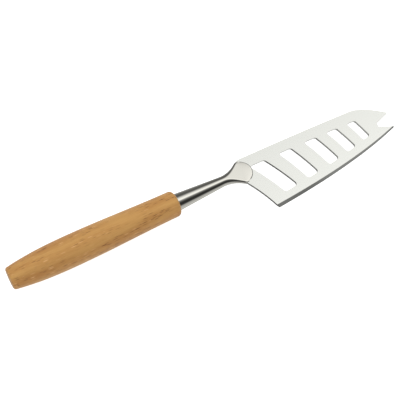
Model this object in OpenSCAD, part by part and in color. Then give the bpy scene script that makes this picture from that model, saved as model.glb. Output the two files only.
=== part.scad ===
// Cheese knife: a slotted, forked and ground blade, held in the flattened mouth of a conical
// steel tube that is glued into a turned beech handle.
// X runs from the centre of the butt to the prongs, Y towards the spine, Z out of the blade's face.

/* [Handle] */
// Length of the wooden handle
handle_len = 112.8; // [100:0.1:125]
// Diameter of the handle at its thickest place
belly_d = 20; // [18:0.1:24]
// Distance from the butt to the thickest place
belly_at = 43; // [30:1:60]
// Diameter of the flat butt, with its rim
butt_d = 13.9; // [11:0.1:16]
// Diameter of the front end, with its rim
front_d = 17.2; // [15:0.1:19]
// Radius of the rounded rim at the butt
butt_rim_r = 1.8; // [0.5:0.1:2.5]
// Radius of the rounded rim at the front end
front_rim_r = 2.4; // [0.8:0.1:2.5]

/* [Shaft] */
// Diameter of the tube where it leaves the wood
shaft_d = 11.5; // [9.5:0.1:12]
// Diameter of the tube at its neck
neck_d = 7; // [6.6:0.1:8]
// Wall of the tube
shaft_wall = 0.8; // [0.5:0.1:1]
// Length of the cone from the wood to the neck
cone_len = 34.7; // [20:0.1:40]
// Length of the flare from the neck to the corners of the mouth
flare_len = 13.5; // [13:0.1:24]
// Width of the flattened mouth
mouth_w = 15.9; // [14:0.1:17]
// Length of the mouth's rounded lip ahead of its corners
lip_len = 8.9; // [6:0.1:10]
// Length of the tube that is seated in the wood
seat_len = 10; // [6:0.5:14]

/* [Tang] */
// Diameter of the tang rod
rod_d = 5; // [4:0.1:6]
// Length of the tang rod behind the tube
rod_len = 48; // [30:1:60]
// Depth of the grooves in the tang rod
groove_depth = 0.4; // [0.2:0.05:0.6]
// Width of the grooves in the tang rod
groove_w = 1.4; // [0.8:0.1:2]
// Distance from one groove to the next
groove_pitch = 4; // [3:0.1:6]
// Thickness of the glue around the tang rod
glue_wall = 0.6; // [0.4:0.1:1]

/* [Blade] */
// Thickness of the sheet
sheet = 1.8; // [1.2:0.1:1.9]
// Length of the blade ahead of the corners of the mouth, with the sharp tip of the lower prong
blade_len = 120.2; // [100:0.1:140]
// Height of the spine above the handle's axis, at the rear
spine_h = 9.1; // [8.5:0.1:12]
// Drop of the spine from the rear to the bend of the nose
spine_drop = 1.4; // [0:0.1:3]
// Depth of the heel below the handle's axis
heel_depth = 32.4; // [28:0.1:36]
// Distance from the corners of the mouth to the heel
heel_run = 11.5; // [8:0.1:16]
// Length of the nose, from the bend of the spine to the sharp tips
nose_len = 25.4; // [20:0.1:32]
// Lead of the upper prong's tip over the lower prong's
upper_tip_lead = 1.2; // [0:0.1:2]
// Depth of the upper prong's tip below the handle's axis
upper_tip_depth = 4.8; // [4:0.1:6]
// Depth of the lower prong's tip below the handle's axis
lower_tip_depth = 16; // [15:0.1:18]
// Distance from the lower prong's tip to the bottom of the notch
notch_depth = 11.4; // [9:0.1:14]
// Width of the bottom of the notch
notch_w = 3.1; // [2.5:0.1:4.5]
// Width of the ground bevel at the heel
bevel_w = 2.3; // [1.5:0.1:3]
// Width of the ground bevel at the lower prong's tip
tip_bevel_w = 1.1; // [0.8:0.1:2]
// Thickness left at the cutting edge
edge_land = 0.2; // [0.1:0.05:0.4]

/* [Slots] */
// Width of the rear slot
slot_w = 10.3; // [8:0.1:11]
// Width of the sheet between the slots and the spine
spine_border = 7.5; // [6:0.1:9]
// Width of the sheet between the slots and the cutting edge
edge_border = 7; // [6:0.1:8]
// Radius of the slots' corners
slot_corner_r = 2; // [1:0.1:2.5]
// Radius to which the slots' long sides bow
slot_bow_r = 150; // [100:5:400]

/* [Fits] */
// Gap around the blade's tail in the tube
tail_gap = 0.3; // [0.1:0.05:0.4]
// Gap between the mouth's lips and each face of the blade
lip_gap = 0.04; // [0.02:0.01:0.08]
// Gap between round pieces that are pressed or glued together
fit_gap = 0.04; // [0.02:0.01:0.08]

/* [Hidden] */

wood_colour = "#c08c50";
steel_colour = "#d9dadc";
plain_steel_colour = "#8f9296";
glue_colour = "#d8cfa8";

// Overrun of the cutting tools past the faces that they cut
over = 1;
round_fn = 96;
rim_steps = 6;
barrel_steps = 26;
// Power of the curve from the butt to the belly, which bends most at the butt
barrel_power = 2.5;

// Places along the axis
seat_x = handle_len - seat_len;
neck_x = handle_len + cone_len;
mouth_x = neck_x + flare_len;
tip_x = mouth_x + blade_len;
rod_x = seat_x - rod_len;

// Tube: a round neck that turns into a flat mouth
neck_r = neck_d / 2;
mouth_half_w = mouth_w / 2;
mouth_half_h = sheet / 2 + shaft_wall;
flare_rise = mouth_half_w - neck_r;
flare_r = (flare_len * flare_len + flare_rise * flare_rise) / (2 * flare_rise);
ring_sides = 48;
ring_steps = 12;

// Tang: the bore that the glue fills and the pool of glue at its end
bore_d = rod_d + 2 * glue_wall;
pool_len = 2 * glue_wall;
groove_run_share = 0.9;

// Blade: places of its outline as shares of its lengths
curve_steps = 16;
bow_steps = 5;
border_passes = 4;
tail_len_share = 0.55;
shoulder_share = 0.037;
heel_bend_share = [0.67, 0.49];
edge_bend_share = [0.61, 0.26];
nose_bend_share = [0.4, 0];
notch_height_share = 0.473;
tip_r = sheet / 4;
notch_r = sheet / 3;

// Slots from the heel to the nose: place along the blade, width and lean from upright
slot_place_share = [0.169, 0.343, 0.509, 0.655, 0.786];
slot_width_share = [1, 0.9, 0.875, 0.79, 0.64];
slot_lean = [26, 20.5, 18, 16, 13];
slot_depth_share = 0.315;

function mix(a, b, share) = a + (b - a) * share;
function ease(share) = (1 - cos(180 * share)) / 2;
function bezier(p0, p1, p2) =
    [for (i = [0 : curve_steps]) let (t = i / curve_steps)
        (1 - t) * (1 - t) * p0 + 2 * t * (1 - t) * p1 + t * t * p2];
function arc(centre, r, from, to) =
    [for (i = [0 : rim_steps]) let (a = mix(from, to, i / rim_steps))
        centre + r * [cos(a), sin(a)]];

// Rounded corner at b, between the straight lines to a and to c
function rounded(a, b, c, r) =
    let (u = (a - b) / norm(a - b), v = (c - b) / norm(c - b), half = acos(u * v) / 2,
         centre = b + (u + v) / norm(u + v) * r / sin(half),
         from = b + u * r / tan(half) - centre, to = b + v * r / tan(half) - centre,
         start = atan2(from[1], from[0]),
         turn = atan2(from[0] * to[1] - from[1] * to[0], from * to))
    arc(centre, r, start, start + turn);

// Radius of the turned handle at a distance from the butt
function barrel_r(x) =
    x < belly_at
        ? belly_d / 2 - (belly_d - butt_d) / 2 * pow((belly_at - x) / belly_at, barrel_power)
        : mix(belly_d / 2, front_d / 2, ease((x - belly_at) / (handle_len - belly_at)));

// Half the width and half the height of the tube at a share of the flare
function flare_half_w(share) =
    neck_r + flare_r - sqrt(flare_r * flare_r - share * share * flare_len * flare_len);
function flare_half_h(share) = mix(neck_r, mouth_half_h, ease(share));

// Sections of the tube: place, half width and half height
tube_sections = concat(
    [for (x = [seat_x, handle_len]) [x, shaft_d / 2, shaft_d / 2]],
    [for (i = [0 : ring_steps])
        let (share = i / ring_steps)
        [neck_x + share * flare_len, flare_half_w(share), flare_half_h(share)]]);

// One ring of points of a section, two half-rounds with a flat between them
function tube_ring(section, inset) =
    let (half_w = section[1] - inset, half_h = section[2] - inset, flat = half_w - half_h)
    [for (side = [0 : ring_sides - 1])
        let (angle = 360 * side / ring_sides, y = half_w * cos(angle),
             past_flat = max(0, abs(y) - flat))
        [section[0], y, sign(sin(angle)) * sqrt(max(0, half_h * half_h - past_flat * past_flat))]];

// Ring that follows the mouth's rounded lip
function lip_x(y) =
    mouth_x + lip_len * sqrt(max(0, 1 - y * y / (mouth_half_w * mouth_half_w)));
function lip_ring(inset) =
    [for (p = tube_ring(tube_sections[len(tube_sections) - 1], inset)) [lip_x(p[1]), p[1], p[2]]];
function tube_skin(inset) =
    [for (section = tube_sections) each tube_ring(section, inset), each lip_ring(inset)];

// Curves of the blade's outline
heel_corner = [mouth_x + heel_run, -heel_depth];
upper_tip = [tip_x + upper_tip_lead, -upper_tip_depth];
lower_tip = [tip_x, -lower_tip_depth];
notch_mid_y = -(upper_tip_depth + (lower_tip_depth - upper_tip_depth) * notch_height_share);
bend_x = tip_x - nose_len;
shoulder_len = shoulder_share * blade_len;
tail_half_w = mouth_half_w - shaft_wall - tail_gap;
tail_side = [for (i = [0 : rim_steps])
    let (share = mix(1 - tail_len_share, 1, i / rim_steps))
    [neck_x + share * flare_len, flare_half_w(share) - shaft_wall - tail_gap]];
function mirrored_back(side) = [for (i = [len(side) - 1 : -1 : 0]) [side[i][0], -side[i][1]]];
function spine_y(x) =
    spine_h - spine_drop * pow((x - mouth_x) / (bend_x - mouth_x), 2);
function inner_point(from, to, shares) =
    [mix(from[0], to[0], shares[0]), mix(from[1], to[1], shares[1])];
edge_curve = bezier(heel_corner, inner_point(heel_corner, lower_tip, edge_bend_share), lower_tip);
function edge_y(x) = lookup(x, edge_curve);

// Direction into the blade at a point of the cutting edge
function edge_normal(i) =
    let (a = edge_curve[max(0, i - 1)], b = edge_curve[min(curve_steps, i + 1)], d = b - a)
    [-d[1], d[0]] / norm(d);

module along_x(from, to, d) {
    translate([from, 0, 0])
        rotate([0, 90, 0])
            cylinder(h = to - from, d = d, $fn = round_fn);
}

module turned(profile) {
    rotate([0, 90, 0])
        rotate_extrude($fn = round_fn)
            polygon([for (p = profile) [p[1], p[0]]]);
}

module handle() {
    butt_rim = [butt_rim_r, barrel_r(butt_rim_r) - butt_rim_r];
    front_rim = [handle_len - front_rim_r, barrel_r(handle_len - front_rim_r) - front_rim_r];
    barrel = [for (i = [1 : barrel_steps - 1])
        let (x = mix(butt_rim[0], front_rim[0], i / barrel_steps)) [x, barrel_r(x)]];
    color(wood_colour)
        difference() {
            turned(concat([[0, 0]], arc(butt_rim, butt_rim_r, 180, 90), barrel,
                          arc(front_rim, front_rim_r, 90, 0), [[handle_len, 0]]));
            along_x(seat_x, handle_len + over, shaft_d + 2 * fit_gap);
            along_x(rod_x - pool_len, seat_x + over, bore_d);
        }
}

// Tube from its seat in the wood, over the cone and the neck, to the flat mouth with its lip
module tube() {
    skin = len(tube_sections) + 1;
    inner = skin * ring_sides;
    function next(side) = (side + 1) % ring_sides;
    function quad(a, b, c, d) = [[a, b, c], [a, c, d]];
    function skin_row(base, ring) =
        [for (side = [0 : ring_sides - 1])
            let (a = base + ring * ring_sides, b = a + ring_sides)
            each base == 0
                ? quad(b + side, b + next(side), a + next(side), a + side)
                : quad(a + side, a + next(side), b + next(side), b + side)];
    function end_row(a, b) =
        [for (side = [0 : ring_sides - 1]) each quad(a + side, a + next(side), b + next(side), b + side)];
    front = (skin - 1) * ring_sides;
    polyhedron(
        points = concat(tube_skin(0), tube_skin(shaft_wall)),
        faces = concat(
            [for (ring = [0 : skin - 2]) each skin_row(0, ring)],
            [for (ring = [0 : skin - 2]) each skin_row(inner, ring)],
            end_row(0, inner),
            end_row(inner + front, front)));
}

// Space that the blade takes in the tube: a flat pocket for its tail and a slit through the lip
module blade_seat() {
    pocket_side = [for (p = tail_side) [p[0], p[1] + tail_gap / 2]];
    linear_extrude(height = sheet + 2 * lip_gap, center = true) {
        polygon(concat(pocket_side, mirrored_back(pocket_side)));
        translate([mouth_x, -mouth_w])
            square([lip_len + over, 2 * mouth_w]);
    }
}

module shaft() {
    color(steel_colour)
        difference() {
            tube();
            blade_seat();
        }
}

// Steel bush that is pressed into the rear of the tube and holds the rod
module tang_bush() {
    color(plain_steel_colour)
        difference() {
            along_x(seat_x, handle_len, shaft_d - 2 * shaft_wall - 2 * fit_gap);
            along_x(seat_x - over, handle_len + over, rod_d + 2 * fit_gap);
        }
}

// Grooved rod that the glue grips
module tang_rod() {
    groove_count = floor(rod_len * groove_run_share / groove_pitch);
    groove_r = rod_d / 2 - groove_depth;
    chamfer = groove_depth;
    grooves = [for (i = [0 : groove_count - 1])
        let (x = rod_x + groove_pitch * (i + 0.5))
        each [[x, rod_d / 2], [x, groove_r], [x + groove_w, groove_r], [x + groove_w, rod_d / 2]]];
    color(plain_steel_colour)
        turned(concat([[rod_x, 0], [rod_x, rod_d / 2 - chamfer], [rod_x + chamfer, rod_d / 2]],
                      grooves, [[handle_len, rod_d / 2], [handle_len, 0]]));
}

// Cured glue between the rod and its bore, with the pool at the blind end
module tang_glue() {
    color(glue_colour)
        difference() {
            along_x(rod_x - pool_len + fit_gap, seat_x - fit_gap, bore_d - 2 * fit_gap);
            along_x(rod_x - fit_gap, seat_x + over, rod_d + 2 * fit_gap);
        }
}

// Outline of the blade with its rounded corners, from the tail along the spine
function blade_outline() =
    let (shoulder_x = mouth_x + tail_gap, spine_x = shoulder_x + shoulder_len,
         bend = [bend_x, spine_y(bend_x)], notch_x = tip_x - notch_depth,
         notch_upper = [notch_x, notch_mid_y + notch_w / 2],
         notch_lower = [notch_x, notch_mid_y - notch_w / 2],
         heel_top = [shoulder_x, -tail_half_w],
         nose = bezier(bend, inner_point(bend, upper_tip, nose_bend_share), upper_tip),
         heel = bezier(heel_corner, inner_point(heel_top, heel_corner, heel_bend_share), heel_top),
         last = curve_steps)
    concat(
        tail_side,
        [for (i = [0 : rim_steps]) let (a = 90 * i / rim_steps)
            [spine_x - shoulder_len * cos(a), mix(tail_half_w, spine_y(spine_x), sin(a))]],
        [for (i = [1 : last - 1]) let (x = mix(spine_x, bend_x, i / last)) [x, spine_y(x)]],
        [for (i = [0 : last - 1]) nose[i]],
        rounded(nose[last - 1], upper_tip, notch_upper, tip_r),
        rounded(upper_tip, notch_upper, notch_lower, notch_r),
        rounded(notch_upper, notch_lower, lower_tip, notch_r),
        rounded(notch_lower, lower_tip, edge_curve[last - 1], tip_r),
        [for (i = [last - 1 : -1 : 1]) edge_curve[i]],
        rounded(edge_curve[1], heel_corner, heel[1], tip_r),
        [for (i = [1 : last]) heel[i]],
        mirrored_back(tail_side));

// Angle at which a bowed side ends at the border of the spine or of the cutting edge
function border_angle(centre, r, x, upper, passes = border_passes) =
    let (y = upper ? spine_y(x) - spine_border : edge_y(x) + edge_border,
         angle = asin((y - centre[1]) / r))
    passes == 0 ? angle : border_angle(centre, r, centre[0] + r * cos(angle), upper, passes - 1);

// Long side of a slot, from the border of the spine to that of the edge
function slot_side(middle, lean, r) =
    let (centre = middle - slot_bow_r * [cos(lean), sin(lean)],
         top = border_angle(centre, r, middle[0], true),
         bottom = border_angle(centre, r, middle[0], false))
    [for (i = [0 : bow_steps])
        let (angle = mix(top, bottom, i / bow_steps)) centre + r * [cos(angle), sin(angle)]];

// One leaning slot with bowed long sides and rounded corners
function slot_outline(place, width, lean) =
    let (middle = [mouth_x + place * blade_len, -slot_depth_share * heel_depth],
         front = slot_side(middle, lean, slot_bow_r + width / 2),
         rear = slot_side(middle, lean, slot_bow_r - width / 2), last = bow_steps)
    concat(
        rounded(rear[0], front[0], front[1], slot_corner_r),
        [for (i = [1 : last - 1]) front[i]],
        rounded(front[last - 1], front[last], rear[last], slot_corner_r),
        rounded(front[last], rear[last], rear[last - 1], slot_corner_r),
        [for (i = [last - 1 : -1 : 1]) rear[i]],
        rounded(rear[1], rear[0], front[0], slot_corner_r));

// Grinding wedge that lies on one face, follows the cutting edge and narrows to the tip
module bevel_cut(face) {
    function past_end(end, inner) = end + over * (end - inner) / norm(end - inner);
    places = concat([past_end(edge_curve[0], edge_curve[1])], edge_curve,
                    [past_end(edge_curve[curve_steps], edge_curve[curve_steps - 1])]);
    last = len(places) - 1;
    function wedge_point(place, height) = [place[0], place[1], face * (edge_land / 2 + height)];
    points = [for (i = [0 : last])
        let (step = min(max(i - 1, 0), curve_steps), n = edge_normal(step),
             width = mix(bevel_w, tip_bevel_w, step / curve_steps),
             slope = (sheet - edge_land) / 2 / width, reach = width + over)
        each [wedge_point(places[i] - over * n, -over * slope),
              wedge_point(places[i] + reach * n, reach * slope),
              wedge_point(places[i] - over * n, reach * slope)]];
    function side(i, k) =
        let (a = 3 * i + k, b = 3 * i + (k + 1) % 3, c = b + 3, d = a + 3)
        face > 0 ? [[a, c, b], [a, d, c]] : [[a, b, c], [a, c, d]];
    caps = [[0, 1, 2], [3 * last, 3 * last + 2, 3 * last + 1]];
    polyhedron(points = points, faces = concat(
        [for (i = [0 : last - 1]) each [for (k = [0 : 2]) each side(i, k)]],
        face > 0 ? caps : [for (f = caps) [f[0], f[2], f[1]]]));
}

module blade() {
    color(steel_colour)
        difference() {
            linear_extrude(height = sheet, center = true)
                difference() {
                    polygon(blade_outline());
                    for (i = [0 : len(slot_place_share) - 1])
                        polygon(slot_outline(slot_place_share[i], slot_w * slot_width_share[i],
                                             slot_lean[i]));
                }
            bevel_cut(1);
            bevel_cut(-1);
        }
}

handle();
shaft();
tang_bush();
tang_rod();
tang_glue();
blade();
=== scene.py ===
"""Cheese knife on a lit white table: a turned beech handle, a pressed steel tube and a slotted, forked blade.

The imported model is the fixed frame. X runs from the butt to the prongs, Y towards the spine and Z out of the
blade's upper face. All lengths are in metres, and sizes are written in millimetres times MM.
"""

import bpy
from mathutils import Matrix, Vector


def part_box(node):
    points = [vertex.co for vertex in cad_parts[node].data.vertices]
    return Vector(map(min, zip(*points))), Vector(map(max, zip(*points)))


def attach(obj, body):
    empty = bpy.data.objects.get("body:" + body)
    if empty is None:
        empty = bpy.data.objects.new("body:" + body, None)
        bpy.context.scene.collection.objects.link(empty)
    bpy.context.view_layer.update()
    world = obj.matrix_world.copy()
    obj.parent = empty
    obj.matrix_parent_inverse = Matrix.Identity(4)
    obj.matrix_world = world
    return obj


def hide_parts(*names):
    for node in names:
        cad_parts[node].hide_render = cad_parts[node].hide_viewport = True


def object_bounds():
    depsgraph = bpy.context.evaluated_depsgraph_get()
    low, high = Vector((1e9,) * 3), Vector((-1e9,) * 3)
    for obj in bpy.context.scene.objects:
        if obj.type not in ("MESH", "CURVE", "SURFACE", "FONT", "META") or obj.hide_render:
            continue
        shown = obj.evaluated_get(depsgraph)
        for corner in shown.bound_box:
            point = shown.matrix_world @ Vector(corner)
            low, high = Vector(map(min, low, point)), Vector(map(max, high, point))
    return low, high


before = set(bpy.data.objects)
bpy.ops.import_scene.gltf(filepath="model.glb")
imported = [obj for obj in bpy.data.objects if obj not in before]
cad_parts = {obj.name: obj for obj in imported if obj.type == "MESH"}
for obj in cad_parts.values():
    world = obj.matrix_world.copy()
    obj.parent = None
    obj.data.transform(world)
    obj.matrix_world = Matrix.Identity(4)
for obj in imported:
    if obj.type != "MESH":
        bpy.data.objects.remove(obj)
CAD_BOX = [list(corner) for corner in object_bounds()]

import logging
from collections.abc import Callable, Sequence
from dataclasses import dataclass
from enum import Enum
from math import asin, copysign, cos, pi, radians, sin, sqrt, tan

import bmesh
import bpy
from mathutils import Quaternion, Vector

log = logging.getLogger("knife")

MM = 0.001
BODY = "root"
# Overrun of cutting shapes past the faces that they cut, and the distance at which two points are one
OVERRUN = 1 * MM
SAME_PLACE = 0.001 * MM
# Range in which nearly all values of a noise texture lie
NOISE_RANGE = (0.3, 0.7)
# Inputs of a Mix node for its share, two numbers and two colours, and its outputs for a number and a colour
SHARE, NUMBER_A, NUMBER_B, COLOUR_A, COLOUR_B = 0, 2, 3, 6, 7
NUMBER, COLOUR = 0, 2

Point = tuple[float, float]
Place = tuple[float, float, float]


class Slot(Enum):
    """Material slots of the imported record."""

    BEECH = "beech"
    POLISHED_STEEL = "polished_steel"
    BLADE_STEEL = "blade_steel"
    PLAIN_STEEL = "plain_steel"
    EPOXY = "epoxy"


class Ray(Enum):
    """Kinds of ray that the studio's surroundings treat apart."""

    CAMERA = "Is Camera Ray"
    GLOSSY = "Is Glossy Ray"


def linear(hex_colour: str) -> tuple[float, float, float, float]:
    """Turns an sRGB colour into Blender's linear one.

    Args:
        hex_colour: The colour as #rrggbb.

    Returns:
        Red, green, blue and a full alpha.
    """
    shares = [int(hex_colour[i:i + 2], 16) / 255 for i in (1, 3, 5)]
    return tuple(s / 12.92 if s <= 0.04045 else ((s + 0.055) / 1.055) ** 2.4 for s in shares) + (1.0,)


def mix(a: float, b: float, share: float) -> float:
    """Returns the value at a share of the way from a to b."""
    return a + (b - a) * share


def ease(share: float) -> float:
    """Returns a share that starts and ends at rest."""
    return (1 - cos(pi * share)) / 2


def add_node(tree: bpy.types.NodeTree, kind: str, settings: dict | None = None,
             links: dict | None = None) -> bpy.types.Node:
    """Adds one shader node with its settings and its incoming links.

    Args:
        tree: The node tree.
        kind: The node's type name.
        settings: Values by property name, by input name or number, or the stops of a ramp under "stops".
        links: Pairs of a node and its output's name, by input name or number.

    Returns:
        The new node.
    """
    node = tree.nodes.new(kind)
    for key, value in (settings or {}).items():
        if key == "stops":
            ramp = node.color_ramp
            for place, colour in value[1:-1]:
                ramp.elements.new(place).color = colour
            for element, (place, colour) in zip(ramp.elements, value):
                element.position = place
                element.color = colour
        elif isinstance(key, str) and hasattr(node, key):
            setattr(node, key, value)
        else:
            node.inputs[key].default_value = value
    for key, (source, output) in (links or {}).items():
        tree.links.new(source.outputs[output], node.inputs[key])
    return node


def grey_stops(levels: Sequence[Point], low: float, high: float) -> list[tuple[float, tuple]]:
    """Turns pairs of a place and a brightness into the stops of a ramp.

    Args:
        levels: Places and their brightness.
        low: The place at the ramp's start.
        high: The place at the ramp's end.

    Returns:
        Positions and colours.
    """
    return [((place - low) / (high - low), (level, level, level, 1.0)) for place, level in levels]


class Workpiece:
    """One mesh on the bench, shaped in edit mode with Blender's own operators."""

    def __init__(self, name: str) -> None:
        """Takes the primitive that was added last, with its place moved into its mesh.

        Args:
            name: The piece's name.
        """
        self.obj = bpy.context.active_object
        self.obj.name = self.obj.data.name = name
        bpy.ops.object.transform_apply(location=True, rotation=True, scale=True)
        bpy.ops.object.mode_set(mode="EDIT")
        bpy.ops.mesh.select_mode(type="VERT")

    @classmethod
    def drawn(cls, name: str, outline: Sequence[Point], height: float = 0.0) -> "Workpiece":
        """Draws a chain of edges in a level plane, from one point to the next.

        Args:
            name: The piece's name.
            outline: The X and Y of each point.
            height: The height of the plane.

        Returns:
            The chain, in edit mode and selected.
        """
        bpy.ops.object.select_all(action="DESELECT")
        bpy.ops.mesh.primitive_plane_add(size=MM, location=(*outline[0], height))
        piece = cls(name)
        bpy.ops.mesh.merge(type="CENTER")
        for here, there in zip(outline, outline[1:]):
            piece.extrude((there[0] - here[0], there[1] - here[1], 0))
        bpy.ops.mesh.select_all(action="SELECT")
        return piece

    def select(self, test: Callable[[Vector], bool]) -> None:
        """Selects the vertices whose place passes a test, with the edges and faces between them.

        Args:
            test: Says of a place whether it is wanted.
        """
        bpy.ops.mesh.select_all(action="DESELECT")
        mesh = bmesh.from_edit_mesh(self.obj.data)
        for vert in mesh.verts:
            vert.select = test(vert.co)
        mesh.select_flush(True)
        bmesh.update_edit_mesh(self.obj.data)

    def extrude(self, offset: Sequence[float]) -> None:
        """Extrudes what is selected by an offset."""
        bpy.ops.mesh.extrude_region_move(TRANSFORM_OT_translate={"value": offset})

    def fill(self) -> None:
        """Closes a drawn chain and fills it with one face."""
        bpy.ops.mesh.select_all(action="SELECT")
        bpy.ops.mesh.edge_face_add()

    def thicken(self, height: float) -> None:
        """Makes a level face into a plate that lies evenly about its own plane.

        Args:
            height: The plate's thickness.
        """
        bpy.ops.mesh.select_all(action="SELECT")
        bpy.ops.transform.translate(value=(0, 0, -height / 2))
        self.extrude((0, 0, height))
        self.face_outwards()

    def round_corner(self, place: Point, radius: float, steps: int) -> None:
        """Rounds one corner of a flat outline.

        Args:
            place: The corner's X and Y.
            radius: The radius of the arc.
            steps: How many edges make the arc.
        """
        self.select(lambda co: abs(co.x - place[0]) < SAME_PLACE and abs(co.y - place[1]) < SAME_PLACE)
        corner = next(v for v in bmesh.from_edit_mesh(self.obj.data).verts if v.select)
        one, other = (edge.other_vert(corner).co - corner.co for edge in corner.link_edges)
        bpy.ops.mesh.bevel(offset=radius / tan(one.angle(other) / 2), offset_type="OFFSET",
                           affect="VERTICES", segments=steps, profile=0.5, clamp_overlap=False)

    def face_outwards(self) -> None:
        """Merges points that lie on each other and turns all faces outwards."""
        bpy.ops.mesh.select_all(action="SELECT")
        bpy.ops.mesh.remove_doubles(threshold=SAME_PLACE)
        bpy.ops.mesh.normals_make_consistent(inside=False)

    def leave(self) -> None:
        """Leaves edit mode."""
        bpy.ops.object.mode_set(mode="OBJECT")

    def take_up(self) -> None:
        """Makes this the only selected piece and the active one."""
        bpy.ops.object.select_all(action="DESELECT")
        bpy.context.view_layer.objects.active = self.obj
        self.obj.select_set(True)

    def finish_with(self, kind: str, **settings: object) -> None:
        """Adds a modifier and applies it.

        Args:
            kind: The modifier's type.
            settings: Its properties.
        """
        self.take_up()
        modifier = self.obj.modifiers.new(kind, kind)
        for key, value in settings.items():
            setattr(modifier, key, value)
        bpy.ops.object.modifier_apply(modifier=modifier.name)

    def cut(self, cutter: "Workpiece") -> None:
        """Cuts another workpiece out of this one and throws the cutter away.

        Args:
            cutter: A closed shape, out of edit mode.
        """
        self.finish_with("BOOLEAN", operation="DIFFERENCE", solver="EXACT", object=cutter.obj)
        bpy.data.objects.remove(cutter.obj)

    def smooth(self, angle: float) -> None:
        """Shades the faces smooth, but for the edges that turn by more than an angle."""
        self.take_up()
        bpy.ops.object.shade_smooth_by_angle(angle=angle)


def hand_over(piece: Workpiece, material: bpy.types.Material, node: str) -> None:
    """Puts a finished piece in the place of its CAD node.

    Args:
        piece: The finished piece.
        material: Its material.
        node: The CAD node that it stands for.
    """
    piece.obj.data.materials.clear()
    piece.obj.data.materials.append(material)
    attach(piece.obj, BODY)
    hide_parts(node)
    log.info("%s: %d faces, for %s", piece.obj.name, len(piece.obj.data.polygons), node)


def new_material(name: str) -> tuple[bpy.types.Material, bpy.types.NodeTree, bpy.types.Node]:
    """Starts a material.

    Args:
        name: The material's name.

    Returns:
        The material, its node tree and its Principled shader.
    """
    material = bpy.data.materials.new(name)
    material.use_nodes = True
    tree = material.node_tree
    tree.nodes.clear()
    shader = add_node(tree, "ShaderNodeBsdfPrincipled")
    add_node(tree, "ShaderNodeOutputMaterial", links={"Surface": (shader, "BSDF")})
    return material, tree, shader


def real_size_pattern(tree: bpy.types.NodeTree, kind: str, size: Point,
                      settings: dict | None = None) -> bpy.types.Node:
    """Adds a texture that lies still in the piece and has a real size.

    Args:
        tree: The material's node tree.
        kind: The texture node's type name.
        size: Distance over which the pattern changes along X, and across it.
        settings: Other settings of the texture.

    Returns:
        The texture node.
    """
    along, across = size
    place = add_node(tree, "ShaderNodeTexCoord")
    scale = add_node(tree, "ShaderNodeMapping", {"Scale": (1 / along, 1 / across, 1 / across)},
                     {"Vector": (place, "Object")})
    return add_node(tree, kind, {"Scale": 1.0, **(settings or {})}, {"Vector": (scale, "Vector")})


def work_surface(tree: bpy.types.NodeTree, shader: bpy.types.Node, noise: bpy.types.Node,
                 roughness: Point, relief: Point) -> None:
    """Lets the marks of working show in a surface's gloss and as a fine relief.

    Args:
        tree: The material's node tree.
        shader: Its Principled shader.
        noise: The noise that gives the marks.
        roughness: Roughness at the low and at the high end of the noise.
        relief: Strength of the relief, and its height.
    """
    gloss = add_node(tree, "ShaderNodeMapRange",
                     {"From Min": NOISE_RANGE[0], "From Max": NOISE_RANGE[1],
                      "To Min": roughness[0], "To Max": roughness[1]},
                     {"Value": (noise, "Fac")})
    tree.links.new(gloss.outputs["Result"], shader.inputs["Roughness"])
    bump = add_node(tree, "ShaderNodeBump", {"Strength": relief[0], "Distance": relief[1]},
                    {"Height": (noise, "Fac")})
    tree.links.new(bump.outputs["Normal"], shader.inputs["Normal"])


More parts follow.
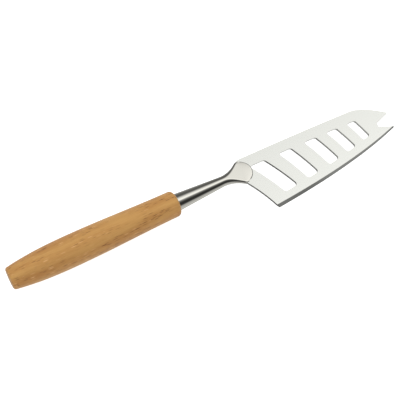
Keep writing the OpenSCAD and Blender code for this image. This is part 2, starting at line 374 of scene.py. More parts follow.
@dataclass(frozen=True)
class OiledBeech:
    """Beech, turned, sanded and oiled: a warm, nearly even tan with a low sheen.

    Its rays show as short dark and light flecks along the grain, and its growth rings as faint broad bands.
    """

    light: str = "#c89751"
    dark: str = "#b27a38"
    dark_ray: str = "#6f3f14"
    light_ray: str = "#e0b074"
    # Sizes along the grain and across it
    ring_size: Point = (50 * MM, 6 * MM)
    fibre_size: Point = (9 * MM, 0.4 * MM)
    ray_spacing: Point = (5.6 * MM, 0.68 * MM)
    # Size of a ray as a share of that spacing, coarser than real rays of 0.2 mm so that they show
    ray_size: float = 0.42
    ring_wander: float = 0.6
    fibre_share: float = 0.35
    # Values of rings and fibres together where the wood is lightest and darkest
    tone_range: Point = (0.45, 0.9)
    # Values of the rings between which the rays set in, so that they lie in clusters
    cluster_range: Point = (0.37, 0.5)
    # Share of the rays that are light, and the share from which on they are dark
    light_share: Point = (0.3, 0.32)
    # Roughness of the fibres' valleys and ridges, and the strength and height of their relief
    roughness: Point = (0.41, 0.55)
    relief: Point = (0.25, 0.05 * MM)
    ior: float = 1.5
    # Fine fuzz of sanded fibres, which pales the wood where it is seen aslant
    fuzz: float = 0.3
    fuzz_roughness: float = 0.45
    fuzz_tint: str = "#fff8ee"

    def build(self) -> bpy.types.Material:
        """Returns the material, with its grain along X."""
        material, tree, shader = new_material("oiled_beech")
        rings = real_size_pattern(tree, "ShaderNodeTexNoise", self.ring_size,
                                  {"Detail": 2.0, "Distortion": self.ring_wander})
        fibres = real_size_pattern(tree, "ShaderNodeTexNoise", self.fibre_size, {"Detail": 3.0})
        rays = real_size_pattern(tree, "ShaderNodeTexVoronoi", self.ray_spacing)
        blend = add_node(tree, "ShaderNodeMath", {"operation": "MULTIPLY_ADD", 1: self.fibre_share},
                         {0: (fibres, "Fac"), 2: (rings, "Fac")})
        tone = add_node(tree, "ShaderNodeValToRGB",
                        {"stops": list(zip(self.tone_range, (linear(self.light), linear(self.dark))))},
                        {"Fac": (blend, "Value")})
        lottery = add_node(tree, "ShaderNodeSeparateXYZ", links={"Vector": (rays, "Color")})
        shape = add_node(tree, "ShaderNodeMapRange",
                         {"From Min": self.ray_size, "From Max": self.ray_size / 2},
                         {"Value": (rays, "Distance")})
        depth = add_node(tree, "ShaderNodeMath", {"operation": "MULTIPLY"},
                         {0: (shape, "Result"), 1: (lottery, "Y")})
        clusters = add_node(tree, "ShaderNodeMapRange",
                            {"From Min": self.cluster_range[0], "From Max": self.cluster_range[1]},
                            {"Value": (rings, "Fac")})
        share = add_node(tree, "ShaderNodeMath", {"operation": "MULTIPLY"},
                         {0: (depth, "Value"), 1: (clusters, "Result")})
        ray_colours = (linear(self.light_ray), linear(self.dark_ray))
        kind = add_node(tree, "ShaderNodeValToRGB", {"stops": list(zip(self.light_share, ray_colours))},
                        {"Fac": (lottery, "X")})
        colour = add_node(tree, "ShaderNodeMix", {"data_type": "RGBA"},
                          {SHARE: (share, "Value"), COLOUR_A: (tone, "Color"), COLOUR_B: (kind, "Color")})
        tree.links.new(colour.outputs[COLOUR], shader.inputs["Base Color"])
        work_surface(tree, shader, fibres, self.roughness, self.relief)
        shader.inputs["IOR"].default_value = self.ior
        shader.inputs["Sheen Weight"].default_value = self.fuzz
        shader.inputs["Sheen Roughness"].default_value = self.fuzz_roughness
        shader.inputs["Sheen Tint"].default_value = linear(self.fuzz_tint)
        return material


@dataclass(frozen=True)
class Steel:
    """Stainless steel with a worked surface: a grey mirror that blurs a little with fine scratches."""

    name: str
    colour: str
    roughness: float
    # Length of the fine scratches and the distance between them, coarser than real ones so that they show
    scratch_size: Point = (15 * MM, 0.3 * MM)
    # Shares of the roughness in and between the scratches, and the strength and height of their relief
    roughness_spread: Point = (0.8, 1.25)
    relief: Point = (0.1, 0.0005 * MM)

    def build(self) -> bpy.types.Material:
        """Returns the material, with its scratches along X."""
        material, tree, shader = new_material(self.name)
        scratches = real_size_pattern(tree, "ShaderNodeTexNoise", self.scratch_size, {"Detail": 2.0})
        low, high = self.roughness_spread
        work_surface(tree, shader, scratches, (self.roughness * low, self.roughness * high), self.relief)
        shader.inputs["Base Color"].default_value = linear(self.colour)
        shader.inputs["Metallic"].default_value = 1.0
        return material


# Tube polished to a mirror after pressing, so that it shows crisp dark and light stripes
POLISHED_STEEL = Steel("polished_steel", "#e5e3da", 0.05)
# Sheet finely polished on both faces, which mirrors the light card as an even pale grey
BLADE_STEEL = Steel("blade_steel", "#ebece6", 0.12)
# Turned and left plain, so that it is a dull mid grey
TURNED_STEEL = Steel("turned_steel", "#8f9296", 0.35)


@dataclass(frozen=True)
class CuredEpoxy:
    """Clear epoxy glue after curing: a pale, glossy resin with a milky cast from trapped air."""

    colour: str = "#d8cfa8"
    milky: str = "#e6dfc4"
    bubble_spacing: float = 1.5 * MM
    # Values of the bubbles' noise between which the resin turns milky
    milky_range: Point = (0.4, 0.65)
    roughness: float = 0.25
    ior: float = 1.55

    def build(self) -> bpy.types.Material:
        """Returns the material."""
        material, tree, shader = new_material("cured_epoxy")
        bubbles = real_size_pattern(tree, "ShaderNodeTexNoise", (self.bubble_spacing, self.bubble_spacing),
                                    {"Detail": 3.0})
        cast = add_node(tree, "ShaderNodeValToRGB",
                        {"stops": list(zip(self.milky_range, (linear(self.colour), linear(self.milky))))},
                        {"Fac": (bubbles, "Fac")})
        tree.links.new(cast.outputs["Color"], shader.inputs["Base Color"])
        shader.inputs["Roughness"].default_value = self.roughness
        shader.inputs["IOR"].default_value = self.ior
        return material


@dataclass
class TurnedHandle:
    """Beech handle, turned between centres and bored from the front for the tube and the rod."""

    length: float
    belly_d: float
    tube_bore_d: float
    tube_seat: float
    belly_at: float = 43 * MM
    # Power of the curve from the butt to the belly, which bends most at the butt
    butt_power: float = 2.5
    butt_d: float = 13.9 * MM
    front_d: float = 17.2 * MM
    butt_rim_r: float = 1.8 * MM
    front_rim_r: float = 2.4 * MM
    glue_bore_d: float = 6.2 * MM
    glue_bore_end: float = 53.6 * MM
    barrel_steps: int = 48
    rim_steps: int = 8
    turn_steps: int = 96
    # Angle past which an edge stays sharp
    crease: float = radians(35)

    def radius_at(self, x: float) -> float:
        """Radius of the barrel, which swells fast from the butt and falls gently to the front.

        Args:
            x: Distance from the butt.

        Returns:
            The radius there.
        """
        if x < self.belly_at:
            share = (self.belly_at - x) / self.belly_at
            return self.belly_d / 2 - (self.belly_d - self.butt_d) / 2 * share ** self.butt_power
        share = (x - self.belly_at) / (self.length - self.belly_at)
        return mix(self.belly_d, self.front_d, ease(share)) / 2

    def profile(self) -> list[Point]:
        """Half section of the handle, from the centre of the butt round to the end of the bore.

        Returns:
            Distances from the butt and radii.
        """
        butt = (self.butt_rim_r, self.radius_at(self.butt_rim_r) - self.butt_rim_r)
        front_x = self.length - self.front_rim_r
        front = (front_x, self.radius_at(front_x) - self.front_rim_r)
        turns = [pi / 2 * i / self.rim_steps for i in range(self.rim_steps + 1)]
        butt_rim = [(butt[0] - self.butt_rim_r * cos(a), butt[1] + self.butt_rim_r * sin(a))
                    for a in turns]
        front_rim = [(front[0] + self.front_rim_r * sin(a), front[1] + self.front_rim_r * cos(a))
                     for a in turns]
        places = [mix(butt[0], front[0], i / self.barrel_steps) for i in range(1, self.barrel_steps)]
        barrel = [(x, self.radius_at(x)) for x in places]
        seat_end = self.length - self.tube_seat
        bore = [(self.length, self.tube_bore_d / 2), (seat_end, self.tube_bore_d / 2),
                (seat_end, self.glue_bore_d / 2), (self.glue_bore_end, self.glue_bore_d / 2),
                (self.glue_bore_end, 0.0)]
        return [(0.0, 0.0), *butt_rim, *barrel, *front_rim, *bore]

    def build(self) -> Workpiece:
        """Draws the half section and spins it round the axis.

        Returns:
            The handle.
        """
        piece = Workpiece.drawn("beech_handle", self.profile())
        bpy.ops.mesh.spin(steps=self.turn_steps, angle=2 * pi, center=(0, 0, 0), axis=(1, 0, 0))
        piece.face_outwards()
        piece.leave()
        piece.smooth(self.crease)
        return piece


@dataclass
class PressedTube:
    """Polished steel tube: a seat in the wood, a cone, a round neck and a mouth pressed flat on the blade."""

    seat_x: float
    root_x: float
    seat_gap: float = 0.04 * MM
    root_d: float = 11.5 * MM
    neck_d: float = 7 * MM
    wall: float = 0.8 * MM
    cone_len: float = 34.7 * MM
    flare_len: float = 13.5 * MM
    mouth_w: float = 15.9 * MM
    lip_len: float = 8.9 * MM
    sheet: float = 1.8 * MM
    lip_gap: float = 0.04 * MM
    tail_gap: float = 0.3 * MM
    # Share of the flare's length at which the blade's tail ends
    tail_end: float = 0.45
    lip_round: float = 0.75 * MM
    # Power of the curve of the lips' folds: 2 is round, and more is squarer
    lip_power: float = 8.0
    sides: int = 96
    flare_steps: int = 20
    tail_steps: int = 8
    round_steps: int = 4
    # Angle past which an edge stays sharp
    crease: float = radians(30)

    @property
    def neck_x(self) -> float:
        """Place of the neck, where the flare begins."""
        return self.root_x + self.cone_len

    @property
    def mouth_x(self) -> float:
        """Place of the mouth's corners."""
        return self.neck_x + self.flare_len

    @property
    def half_h(self) -> float:
        """Half the height of the pressed mouth: the sheet with a wall on each side."""
        return self.sheet / 2 + self.wall

    def half_w_at(self, share: float) -> float:
        """Half the width of the flare, which opens along an arc.

        Args:
            share: Share of the flare's length from the neck.

        Returns:
            Half the width there.
        """
        rise = (self.mouth_w - self.neck_d) / 2
        arc_r = (self.flare_len ** 2 + rise ** 2) / (2 * rise)
        return self.neck_d / 2 + arc_r - sqrt(arc_r ** 2 - (share * self.flare_len) ** 2)

    def half_h_at(self, share: float) -> float:
        """Half the height of the flare, which sinks from round to flat.

        Args:
            share: Share of the flare's length from the neck.

        Returns:
            Half the height there.
        """
        return mix(self.neck_d / 2, self.half_h, ease(share))

    def press(self, piece: Workpiece, half_h: float, power: float = 2.0) -> None:
        """Presses the selected ring to two folds with a flat between them.

        Args:
            piece: The tube in edit mode.
            half_h: Half the height that the ring is pressed to.
            power: Power of the folds' curve: 2 is round, and more is squarer.
        """
        mesh = bmesh.from_edit_mesh(piece.obj.data)
        ring = [vert for vert in mesh.verts if vert.select]
        flat = max(abs(vert.co.y) for vert in ring) - half_h
        for vert in ring:
            past_flat = max(0.0, abs(vert.co.y) - flat) / half_h
            vert.co.z = copysign(half_h * max(0.0, 1 - past_flat ** power) ** (1 / power), vert.co.z)
        bmesh.update_edit_mesh(piece.obj.data)

    def push_lip(self, piece: Workpiece, reach: float) -> None:
        """Pushes the selected ring out towards the mouth's rounded lip, which is flat up to its rim.

        Args:
            piece: The tube in edit mode.
            reach: How far past the mouth's corners the ring may lie at most.
        """
        mesh = bmesh.from_edit_mesh(piece.obj.data)
        for vert in [vert for vert in mesh.verts if vert.select]:
            rim_x = self.lip_len * sqrt(max(0.0, 1 - (2 * vert.co.y / self.mouth_w) ** 2))
            vert.co.x = self.mouth_x + min(rim_x, reach)
        bmesh.update_edit_mesh(piece.obj.data)
        self.press(piece, self.half_h, self.lip_power)

    def round_lips(self, piece: Workpiece) -> None:
        """Rounds the outer edge of both lips, which is polished over, up to the mouth's tight corners.

        Args:
            piece: The tube with its wall, out of edit mode.
        """
        bpy.ops.object.mode_set(mode="EDIT")
        # The fold at each corner keeps its edge, and so does the inner side that closes on the sheet
        corner_y = self.mouth_w / 2 - self.half_h / 2
        piece.select(lambda co: (co.x > self.mouth_x + self.wall and abs(co.y) < corner_y
                                 and abs(co.z) > self.sheet / 2 + self.wall / 4))
        bpy.ops.mesh.bevel(offset=self.lip_round, segments=self.round_steps, affect="EDGES")
        piece.leave()

    def tail_side(self, gap: float) -> list[Point]:
        """One side of the space for the blade's tail inside the flare.

        Args:
            gap: Distance kept from the tube's wall.

        Returns:
            Places along the tube and distances from its axis.
        """
        shares = [mix(self.tail_end, 1, i / self.tail_steps) for i in range(self.tail_steps + 1)]
        return [(self.neck_x + s * self.flare_len, self.half_w_at(s) - self.wall - gap) for s in shares]

    def blade_seat(self) -> Workpiece:
        """Shape of the space that the blade takes: its tail's pocket and a slit through the lips.

        Returns:
            The cutter, out of edit mode.
        """
        pocket = self.tail_side(self.tail_gap / 2)
        slit = [(self.mouth_x, self.mouth_w), (self.mouth_x + self.lip_len + OVERRUN, self.mouth_w)]
        upper = [*pocket, *slit]
        seat = Workpiece.drawn("blade_seat", [*upper, *[(x, -y) for x, y in reversed(upper)]])
        seat.fill()
        seat.thicken(self.sheet + 2 * self.lip_gap)
        seat.leave()
        return seat

    def build(self) -> Workpiece:
        """Draws the tube out ring by ring, presses its flare and slits its mouth.

        Returns:
            The tube.
        """
        bpy.ops.object.select_all(action="DESELECT")
        bpy.ops.mesh.primitive_circle_add(vertices=self.sides, radius=self.root_d / 2,
                                          location=(self.seat_x, 0, 0), rotation=(0, pi / 2, 0))
        piece = Workpiece("pressed_tube")
        piece.extrude((self.root_x - self.seat_x, 0, 0))
        here, width = self.root_x, self.root_d / 2
        for step in range(self.flare_steps + 1):
            share = step / self.flare_steps
            there, next_width = self.neck_x + share * self.flare_len, self.half_w_at(share)
            piece.extrude((there - here, 0, 0))
            bpy.ops.transform.resize(value=(1, next_width / width, next_width / width))
            self.press(piece, self.half_h_at(share))
            here, width = there, next_width
        for reach in (self.wall, self.lip_len):
            piece.extrude((0, 0, 0))
            self.push_lip(piece, reach)
        piece.face_outwards()
        piece.leave()
        piece.finish_with("SOLIDIFY", thickness=self.wall, offset=-1.0, use_even_offset=True)
        self.round_lips(piece)
        piece.cut(self.blade_seat())
        piece.smooth(self.crease)
        return piece


@dataclass
class SlottedBlade:
    """Stamped and ground sheet with leaning slots, a forked tip and a tail held in the tube's mouth."""

    tube: PressedTube
    length: float = 120.2 * MM
    spine_h: float = 9.1 * MM
    spine_drop: float = 1.4 * MM
    heel_depth: float = 32.4 * MM
    heel_run: float = 11.5 * MM
    nose_len: float = 25.4 * MM
    upper_tip_lead: float = 1.2 * MM
    upper_tip_depth: float = 4.8 * MM
    lower_tip_depth: float = 16 * MM
    notch_depth: float = 11.4 * MM
    notch_w: float = 3.1 * MM
    bevel_w: float = 2.3 * MM
    tip_bevel_w: float = 1.1 * MM
    edge_land: float = 0.2 * MM
    slot_w: float = 10.3 * MM
    spine_border: float = 7.5 * MM
    edge_border: float = 7 * MM
    slot_corner_r: float = 2 * MM
    tip_r: float = 0.45 * MM
    notch_r: float = 0.6 * MM
    slot_bow_r: float = 150 * MM
    # Shares of the blade's length and depth: the shoulder behind the spine, the control points of the curves,
    # the notch's height between the prongs, and the slots' middles
    shoulder_share: float = 0.037
    heel_bend_share: Point = (0.67, 0.49)
    edge_bend_share: Point = (0.61, 0.26)
    nose_bend_share: Point = (0.4, 0.0)
    notch_height_share: float = 0.473
    slot_depth_share: float = 0.315
    slot_places: tuple[float, ...] = (0.169, 0.343, 0.509, 0.655, 0.786)
    slot_widths: tuple[float, ...] = (1, 0.9, 0.875, 0.79, 0.64)
    # Angles from upright, in degrees
    slot_leans: tuple[float, ...] = (26, 20.5, 18, 16, 13)
    curve_steps: int = 32
    bow_steps: int = 10
    corner_steps: int = 6
    # How often the end of a slot's side is found again from the place that it leads to
    border_tries: int = 4
    # Angle past which an edge stays sharp
    crease: float = radians(15)

    @property
    def tip_x(self) -> float:
        """Place of the lower prong's sharp tip."""
        return self.tube.mouth_x + self.length

    @property
    def heel(self) -> Vector:
        """Corner between the heel and the cutting edge."""
        return Vector((self.tube.mouth_x + self.heel_run, -self.heel_depth))

    @property
    def lower_tip(self) -> Vector:
        """Sharp tip of the lower prong."""
        return Vector((self.tip_x, -self.lower_tip_depth))

    def bend(self, start: Vector, end: Vector, shares: Point) -> list[Vector]:
        """One quadratic curve between two points.

        Args:
            start: Its first point.
            end: Its last point.
            shares: Place of its control point, as shares of the way from start to end in X and in Y.

        Returns:
            The curve's points.
        """
        middle = Vector((mix(start.x, end.x, shares[0]), mix(start.y, end.y, shares[1])))
        steps = [i / self.curve_steps for i in range(self.curve_steps + 1)]
        return [(1 - t) ** 2 * start + 2 * t * (1 - t) * middle + t ** 2 * end for t in steps]

    def edge(self) -> list[Vector]:
        """Returns the cutting edge from the heel to the lower tip."""
        return self.bend(self.heel, self.lower_tip, self.edge_bend_share)

    def edge_y(self, x: float) -> float:
        """Returns the height of the cutting edge at a place along the blade."""
        edge = self.edge()
        for a, b in zip(edge, edge[1:]):
            if x <= b.x:
                return mix(a.y, b.y, (x - a.x) / (b.x - a.x))
        return edge[-1].y

    def spine_y(self, x: float) -> float:
        """Returns the height of the spine at a place along the blade."""
        run = self.length - self.nose_len
        return self.spine_h - self.spine_drop * ((x - self.tube.mouth_x) / run) ** 2

    def build_sheet(self) -> Workpiece:
        """Draws the stamped outline, rounds its corners and gives it the sheet's thickness.

        Returns:
            The plain sheet, out of edit mode.
        """
        tube = self.tube
        tail = tube.tail_side(tube.tail_gap)
        half_tail = tail[-1][1]
        shoulder_x = tube.mouth_x + tube.tail_gap
        shoulder_len = self.shoulder_share * self.length
        spine_x = shoulder_x + shoulder_len
        shoulder = [(spine_x - shoulder_len * cos(a), mix(half_tail, self.spine_y(spine_x), sin(a)))
                    for a in (pi / 2 * i / self.corner_steps for i in range(self.corner_steps + 1))]
        bend_x = self.tip_x - self.nose_len
        spine = [(x, self.spine_y(x)) for x in
                 (mix(spine_x, bend_x, i / self.curve_steps) for i in range(1, self.curve_steps))]
        upper_tip = Vector((self.tip_x + self.upper_tip_lead, -self.upper_tip_depth))
        nose = self.bend(Vector((bend_x, self.spine_y(bend_x))), upper_tip, self.nose_bend_share)
        notch_x = self.tip_x - self.notch_depth
        notch_y = -mix(self.upper_tip_depth, self.lower_tip_depth, self.notch_height_share)
        notch = [(notch_x, notch_y + self.notch_w / 2), (notch_x, notch_y - self.notch_w / 2)]
        edge = list(reversed(self.edge()))
        heel_top = Vector((shoulder_x, -half_tail))
        heel = list(reversed(self.bend(heel_top, self.heel, self.heel_bend_share)))
        outline = [*tail, *shoulder, *spine, *(tuple(p) for p in nose), *notch, *(tuple(p) for p in edge),
                   *(tuple(p) for p in heel[1:]), *[(x, -y) for x, y in reversed(tail)]]
        piece = Workpiece.drawn("slotted_blade", outline)
        piece.fill()
        for place, radius in ((upper_tip, self.tip_r), (notch[0], self.notch_r), (notch[1], self.notch_r),
                              (self.lower_tip, self.tip_r), (self.heel, self.tip_r)):
            piece.round_corner(place, radius, self.corner_steps)
        piece.thicken(tube.sheet)
        piece.leave()
        return piece

    def slot_side(self, middle: Vector, lean: float, radius: float) -> list[Point]:
        """Bowed long side of a slot, from the border of the spine to that of the edge.

        Args:
            middle: Middle of the slot.
            lean: Angle of the slot from upright, in radians.
            radius: Radius of this side about the bow's centre.

        Returns:
            The side's points.
        """
        centre = middle - self.slot_bow_r * Vector((cos(lean), sin(lean)))

        def end_angle(border_y: Callable[[float], float]) -> float:
            """Returns the angle at which the side meets a border."""
            angle = asin((border_y(middle.x) - centre.y) / radius)
            for _ in range(self.border_tries):
                angle = asin((border_y(centre.x + radius * cos(angle)) - centre.y) / radius)
            return angle

        top = end_angle(lambda x: self.spine_y(x) - self.spine_border)
        bottom = end_angle(lambda x: self.edge_y(x) + self.edge_border)
        angles = [mix(top, bottom, i / self.bow_steps) for i in range(self.bow_steps + 1)]
        return [(centre.x + radius * cos(a), centre.y + radius * sin(a)) for a in angles]

    def slot_punch(self, place: float, width: float, lean: float) -> Workpiece:
        """Punch for one leaning slot.

        Args:
            place: Place of its middle as a share of the blade's length.
            width: The slot's width.
            lean: Angle from upright, in degrees.

        Returns:
            The cutter, out of edit mode.
        """
        middle = Vector((self.tube.mouth_x + place * self.length, -self.slot_depth_share * self.heel_depth))
        front, rear = (self.slot_side(middle, radians(lean), self.slot_bow_r + side)
                       for side in (width / 2, -width / 2))
        punch = Workpiece.drawn("slot_punch", [*front, *reversed(rear)])
        punch.fill()
        for corner in (front[0], front[-1], rear[0], rear[-1]):
            punch.round_corner(corner, self.slot_corner_r, self.corner_steps)
        punch.thicken(self.tube.sheet + 2 * OVERRUN)
        punch.leave()
        return punch

    def grinding_wedge(self) -> Workpiece:
        """Wedge that grinds the cutting edge on both faces, swept along it and narrowing from heel to tip.

        Returns:
            The cutter, out of edit mode.
        """
        slope = (self.tube.sheet - self.edge_land) / 2 / self.bevel_w
        reach = self.bevel_w + OVERRUN
        edge = self.edge()
        first, last = (edge[1] - edge[0]).normalized(), (edge[-1] - edge[-2]).normalized()
        places = [edge[0] - OVERRUN * first, *edge, edge[-1] + OVERRUN * last]
        headings = [first, *[(b - a).normalized() for a, b in zip(edge, edge[2:])], last]
        headings = [headings[0], *headings, headings[-1]]
        steps = len(edge) - 1
        widths = [mix(self.bevel_w, self.tip_bevel_w, i / steps) for i in range(steps + 1)]
        widths = [widths[0], *widths, widths[-1]]
        inward = Vector((-first.y, first.x))
        low, high = -OVERRUN * slope, reach * slope
        base = self.edge_land / 2
        outer, inner = places[0] - OVERRUN * inward, places[0] + reach * inward
        wedge = Workpiece.drawn("grinding_wedge", [tuple(outer), tuple(inner)], base + low)
        wedge.select(lambda co: (co.xy - inner).length < SAME_PLACE)
        bpy.ops.transform.translate(value=(0, 0, high - low))
        wedge.select(lambda co: (co.xy - outer).length < SAME_PLACE)
        wedge.extrude((0, 0, high - low))
        wedge.fill()
        for i in range(1, len(places)):
            step = places[i] - places[i - 1]
            wedge.extrude((step.x, step.y, 0))
            turn = headings[i - 1].angle_signed(headings[i])
            bpy.ops.transform.rotate(value=turn, orient_axis="Z", center_override=(*places[i], 0))
            narrowing = widths[i] / widths[i - 1]
            bpy.ops.transform.resize(value=(narrowing, narrowing, 1), center_override=(*places[i], 0))
        wedge.face_outwards()
        wedge.leave()
        wedge.finish_with("MIRROR", use_axis=(False, False, True), use_mirror_merge=False)
        return wedge

    def build(self) -> Workpiece:
        """Stamps the sheet, punches its slots and grinds its edge.

        Returns:
            The blade.
        """
        piece = self.build_sheet()
        for place, share, lean in zip(self.slot_places, self.slot_widths, self.slot_leans):
            piece.cut(self.slot_punch(place, share * self.slot_w, lean))
        piece.cut(self.grinding_wedge())
        piece.smooth(self.crease)
        return piece


@dataclass
class Studio:
    """Lit white table, soft surroundings and the camera."""

    table_z: float
    camera_place: Place = (-29.62 * MM, -141.78 * MM, 433.24 * MM)
    camera_target: Place = (127.71 * MM, -4.98 * MM, 0)
    camera_roll: float = 21.22
    camera_lens: float = 67.5
    camera_start: float = 10 * MM
    table_size: float = 6.0
    table_colour: str = "#f4f4f4"
    table_roughness: float = 0.6
    table_glow: float = 0.7
    lamp_place: Place = (0.05, 0.55, 0.5)
    lamp_size: float = 0.5
    lamp_power: float = 1.35
    # Light of the surroundings on all that isn't a mirror
    soft_level: float = 0.88
    # Angle by which the light card is turned from the knife's axis
    card_turn: float = 11.5
    # Brightness seen round the knife's axis: 0 is the horizon on the spine's side, 90 is straight up
    stripes: tuple[Point, ...] = (
        (-180, 0.42), (-167, 0.53), (-156, 0.58), (-144, 0.63), (-129, 0.65), (-110, 0.64), (-82, 0.60),
        (-70, 0.32), (-50, 0.40), (-30, 0.42), (-8, 0.20), (12, 0.13), (23, 0.12), (35, 0.11), (45, 0.13),
        (52, 0.24), (60, 0.43), (68.5, 0.76), (73, 0.88), (77, 0.96), (85, 1.08), (93, 1.17), (100, 1.15),
        (105, 0.75), (109, 0.42), (116, 0.24), (124, 0.12), (132, 0.06), (140, 0.03), (156, 0.032),
        (168, 0.08), (180, 0.42))
    # Share of it left below the horizon, by the run of a ray along X: -1 is back to the butt
    under: tuple[Point, ...] = (
        (-0.64, 0.62), (-0.58, 0.59), (-0.555, 0.42), (-0.54, 0.34), (-0.51, 0.32), (-0.48, 0.12),
        (-0.45, 0.10), (-0.42, 0.42), (-0.33, 0.65), (0.3, 1.0))
    # Runs along X between which the dark cloth gives way to what lies past it, and the least brightness
    # there: towards the prongs, and above the horizon towards the butt
    cloth_end: Point = (0.44, 0.56)
    past_end: float = 0.27
    cloth_start: Point = (-0.44, -0.54)
    past_start: float = 0.42
    # Runs between which the wall ahead of the prongs closes the view, and its brightness
    wall_edge: Point = (0.76, 0.82)
    wall_level: float = 0.04

    def build_table(self) -> None:
        """Lays the white acrylic table that is lit from below, so that it shows hardly any shadow."""
        bpy.ops.object.select_all(action="DESELECT")
        bpy.ops.mesh.primitive_plane_add(size=self.table_size, location=(0, 0, self.table_z))
        table = bpy.context.active_object
        table.name = "table"
        material, _, shader = new_material("lit_acrylic")
        shader.inputs["Base Color"].default_value = linear(self.table_colour)
        shader.inputs["Roughness"].default_value = self.table_roughness
        shader.inputs["Emission Color"].default_value = linear("#ffffff")
        shader.inputs["Emission Strength"].default_value = self.table_glow
        table.data.materials.append(material)
        # The surroundings stand for the table in the steel's mirror and in the light on the wood
        table.visible_glossy = False
        table.visible_diffuse = False

    def add_mirrored_view(self, tree: bpy.types.NodeTree) -> bpy.types.Node:
        """Adds what the steel mirrors: a light card between strips of dark cloth, a wall and a grey floor.

        Args:
            tree: The world's node tree.

        Returns:
            The node whose value is the brightness in a ray's direction.
        """
        direction = add_node(tree, "ShaderNodeTexCoord")
        turned = add_node(tree, "ShaderNodeMapping",
                          {"vector_type": "POINT", "Rotation": (0, 0, radians(-self.card_turn))},
                          {"Vector": (direction, "Generated")})
        parts = add_node(tree, "ShaderNodeSeparateXYZ", links={"Vector": (turned, "Vector")})
        swapped = add_node(tree, "ShaderNodeCombineXYZ",
                           links={"X": (parts, "Y"), "Y": (parts, "Z"), "Z": (parts, "X")})
        around = add_node(tree, "ShaderNodeTexGradient", {"gradient_type": "RADIAL"},
                          {"Vector": (swapped, "Vector")})
        stripes = add_node(tree, "ShaderNodeValToRGB", {"stops": grey_stops(self.stripes, -180, 180)},
                           {"Fac": (around, "Fac")})
        run = add_node(tree, "ShaderNodeSeparateXYZ", links={"Vector": (direction, "Generated")})
        end, start, wall = (
            add_node(tree, "ShaderNodeMapRange", {"From Min": low, "From Max": high, "To Max": level},
                     {"Value": (run, "X")})
            for (low, high), level in ((self.cloth_end, self.past_end), (self.cloth_start, self.past_start),
                                       (self.wall_edge, 1.0)))
        above = add_node(tree, "ShaderNodeMath", {"operation": "GREATER_THAN", 1: 0.0}, {0: (run, "Z")})
        start_above = add_node(tree, "ShaderNodeMath", {"operation": "MULTIPLY"},
                               {0: (start, "Result"), 1: (above, "Value")})
        past_end = add_node(tree, "ShaderNodeMath", {"operation": "MAXIMUM"},
                            {0: (stripes, "Color"), 1: (end, "Result")})
        room = add_node(tree, "ShaderNodeMath", {"operation": "MAXIMUM"},
                        {0: (past_end, "Value"), 1: (start_above, "Value")})
        walled = add_node(tree, "ShaderNodeMix", {"data_type": "FLOAT", NUMBER_B: self.wall_level},
                          {SHARE: (wall, "Result"), NUMBER_A: (room, "Value")})
        half_run = add_node(tree, "ShaderNodeMath", {"operation": "MULTIPLY_ADD", 1: 0.5, 2: 0.5},
                            {0: (run, "X")})
        under = add_node(tree, "ShaderNodeValToRGB", {"stops": grey_stops(self.under, -1, 1)},
                         {"Fac": (half_run, "Value")})
        below = add_node(tree, "ShaderNodeMath", {"operation": "LESS_THAN", 1: 0.0}, {0: (run, "Z")})
        shade = add_node(tree, "ShaderNodeMix", {"data_type": "FLOAT", NUMBER_A: 1.0},
                         {SHARE: (below, "Value"), NUMBER_B: (under, "Color")})
        return add_node(tree, "ShaderNodeMath", {"operation": "MULTIPLY"},
                        {0: (walled, NUMBER), 1: (shade, NUMBER)})

    def build_surroundings(self) -> None:
        """Surrounds the knife with white for the camera, soft light for the wood and a view for the steel."""
        world = bpy.data.worlds.new("surroundings")
        bpy.context.scene.world = world
        world.use_nodes = True
        tree = world.node_tree
        tree.nodes.clear()
        glow = add_node(tree, "ShaderNodeBackground", {"Strength": 1.0},
                        {"Color": (self.add_mirrored_view(tree), "Value")})
        soft, plain = (add_node(tree, "ShaderNodeBackground", {"Color": linear("#ffffff"), "Strength": level})
                       for level in (self.soft_level, 1.0))
        rays = add_node(tree, "ShaderNodeLightPath")
        lit = add_node(tree, "ShaderNodeMixShader",
                       links={0: (rays, Ray.GLOSSY.value), 1: (soft, "Background"), 2: (glow, "Background")})
        shown = add_node(tree, "ShaderNodeMixShader",
                         links={0: (rays, Ray.CAMERA.value), 1: (lit, "Shader"), 2: (plain, "Background")})
        add_node(tree, "ShaderNodeOutputWorld", links={"Surface": (shown, "Shader")})

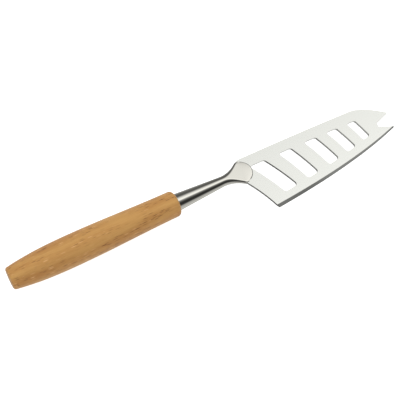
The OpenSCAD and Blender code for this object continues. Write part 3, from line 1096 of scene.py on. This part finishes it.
    def build_lamp(self) -> None:
        """Hangs one soft lamp above the spine's side, which the steel doesn't mirror."""
        bpy.ops.object.select_all(action="DESELECT")
        bpy.ops.object.light_add(type="AREA", location=self.lamp_place)
        lamp = bpy.context.active_object
        lamp.name = "soft_lamp"
        lamp.data.size = self.lamp_size
        lamp.data.energy = self.lamp_power
        lamp.rotation_mode = "QUATERNION"
        lamp.rotation_quaternion = (-lamp.location).to_track_quat("-Z", "Y")
        lamp.visible_glossy = False

    def build_camera(self) -> None:
        """Sets the camera at the photographed angle."""
        data = bpy.data.cameras.new("camera")
        data.lens = self.camera_lens
        data.clip_start = self.camera_start
        camera = bpy.data.objects.new("camera", data)
        bpy.context.scene.collection.objects.link(camera)
        place, target = Vector(self.camera_place), Vector(self.camera_target)
        camera.location = place
        camera.rotation_mode = "QUATERNION"
        level = (target - place).to_track_quat("-Z", "Y")
        camera.rotation_quaternion = level @ Quaternion((0, 0, 1), radians(self.camera_roll))
        bpy.context.scene.camera = camera

    def build(self) -> None:
        """Builds the whole studio."""
        self.build_camera()
        self.build_table()
        self.build_surroundings()
        self.build_lamp()
        bpy.context.scene.view_settings.view_transform = "Standard"
        log.info("studio: table at %.1f mm", self.table_z / MM)


def dress_inner_nodes() -> None:
    """Gives the pieces inside the handle, which stay as the CAD made them, their finishes."""
    turned_steel = TURNED_STEEL.build()
    epoxy = CuredEpoxy().build()
    for node, material in (("tang_bush", turned_steel), ("tang_rod", turned_steel), ("tang_glue", epoxy)):
        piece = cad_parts[node]
        piece.data.materials.clear()
        piece.data.materials.append(material)
        log.info("%s: %s", node, material.name)


def main() -> None:
    """Builds the knife's pieces in order, then the studio."""
    _, handle_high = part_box("handle")
    shaft_low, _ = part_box("shaft")
    tube = PressedTube(seat_x=shaft_low.x, root_x=handle_high.x)
    handle = TurnedHandle(length=handle_high.x, belly_d=2 * handle_high.y,
                          tube_bore_d=tube.root_d + 2 * tube.seat_gap, tube_seat=handle_high.x - shaft_low.x)
    for part, finish, slot, node in ((handle, OiledBeech(), Slot.BEECH, "handle"),
                                     (tube, POLISHED_STEEL, Slot.POLISHED_STEEL, "shaft"),
                                     (SlottedBlade(tube), BLADE_STEEL, Slot.BLADE_STEEL, "blade")):
        hand_over(part.build(), finish.build(), node)
    dress_inner_nodes()
    Studio(table_z=CAD_BOX[0][2]).build()


if __name__ == "__main__":
    logging.basicConfig(level=logging.INFO, format="%(message)s")
    main()
